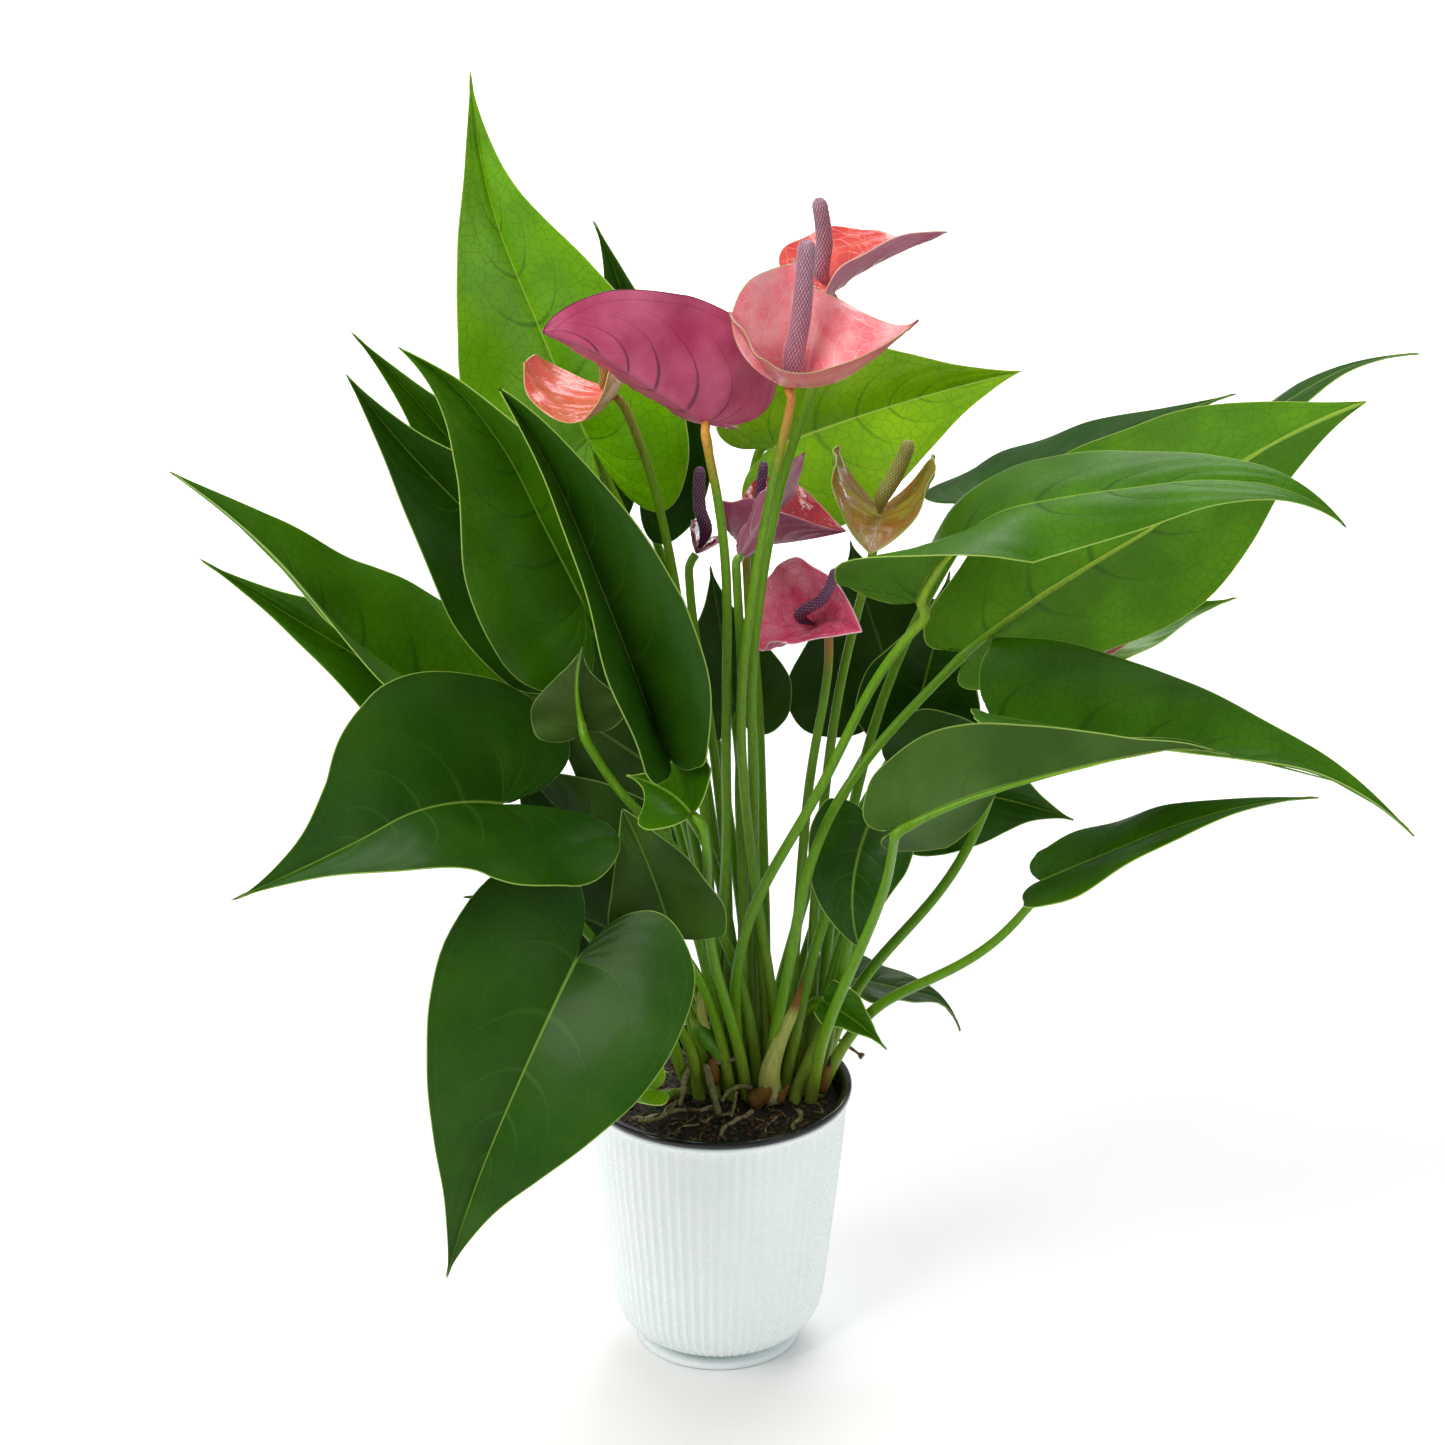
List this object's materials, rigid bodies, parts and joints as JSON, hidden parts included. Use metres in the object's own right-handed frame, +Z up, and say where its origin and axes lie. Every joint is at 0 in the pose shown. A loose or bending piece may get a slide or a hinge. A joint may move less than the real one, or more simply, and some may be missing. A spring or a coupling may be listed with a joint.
{
  "type": "potted flamingo flower",
  "caption": "Potted flamingo flower: heart-shaped glossy leaves and waxy pink spathes with slender spadices rise from a black nursery pot inside a ribbed white cover pot.",
  "frame": {"origin": "centre of the cover pot's flat underside, on the surface that it stands on", "axes": "+Z up along the pot's axis; -Y towards the viewer of the picture; +X to that viewer's right"},
  "size_m": [0.547, 0.2824, 0.5687],
  "materials": {
    "dark_leaf": "satin",
    "bright_leaf": "satin",
    "stalk_green": "satin",
    "mauve_spadix": "matte",
    "dark_spadix": "matte",
    "olive_spadix": "matte",
    "white_plastic": "satin",
    "black_plastic": "gloss",
    "potting_mix": "matte",
    "aerial_root": "matte",
    "spathe_purple": "gloss",
    "spathe_pink": "gloss",
    "spathe_salmon": "gloss",
    "spathe_peach": "gloss",
    "spathe_roll": "gloss",
    "spathe_crimson": "gloss",
    "spathe_wine": "gloss",
    "spathe_magenta": "gloss",
    "spathe_lime": "gloss",
    "spathe_hidden": "gloss"
  },
  "bodies": {
    "root": {"leaf_crest": "bright_leaf", "leaf_crest_back": "dark_leaf", "leaf_upper_left": "bright_leaf", "leaf_front_tall": "dark_leaf", "leaf_left_dark": "dark_leaf", "leaf_left_back": "dark_leaf", "leaf_left_long": "bright_leaf", "leaf_left_under": "dark_leaf", "leaf_left_heart": "dark_leaf", "leaf_front_heart": "dark_leaf", "leaf_fold_small": "bright_leaf", "leaf_backlit": "dark_leaf", "leaf_shade_left": "dark_leaf", "leaf_shade_front": "dark_leaf", "leaf_rim": "dark_leaf", "leaf_small_heart": "dark_leaf", "leaf_centre_left": "dark_leaf", "leaf_gold": "bright_leaf", "leaf_right_back": "dark_leaf", "leaf_right_front": "dark_leaf", "leaf_right_great": "bright_leaf", "leaf_right_tail": "bright_leaf", "leaf_right_twist": "dark_leaf", "leaf_right_low": "dark_leaf", "leaf_right_teal": "dark_leaf", "leaf_centre_right": "dark_leaf", "leaf_centre_back": "dark_leaf", "leaf_centre_deep": "dark_leaf", "leaf_droop": "dark_leaf", "leaf_notch": "dark_leaf", "leaf_low_right": "dark_leaf", "leaf_low_tip": "dark_leaf", "leaf_far_right": "dark_leaf", "leaf_right_under": "bright_leaf", "spathe_purple": "spathe_purple", "spathe_pink": "spathe_pink", "spathe_salmon": "spathe_salmon", "spathe_peach": "spathe_peach", "spathe_roll": "spathe_roll", "spathe_crimson": "spathe_crimson", "spathe_wine": "spathe_wine", "spathe_magenta": "spathe_magenta", "spathe_lime": "spathe_lime", "spathe_hidden": "spathe_hidden", "spadix_purple": "mauve_spadix", "spadix_pink": "mauve_spadix", "spadix_salmon": "mauve_spadix", "spadix_peach": "olive_spadix", "spadix_crimson": "dark_spadix", "spadix_wine": "dark_spadix", "spadix_magenta": "dark_spadix", "spadix_lime": "olive_spadix", "spadix_hidden": "mauve_spadix", "crown": "stalk_green", "cover_pot": "white_plastic", "nursery_pot": "black_plastic", "soil": "potting_mix", "aerial_root_left": "aerial_root", "aerial_root_front": "aerial_root", "aerial_root_right": "aerial_root"}
  },
  "joints": []
}
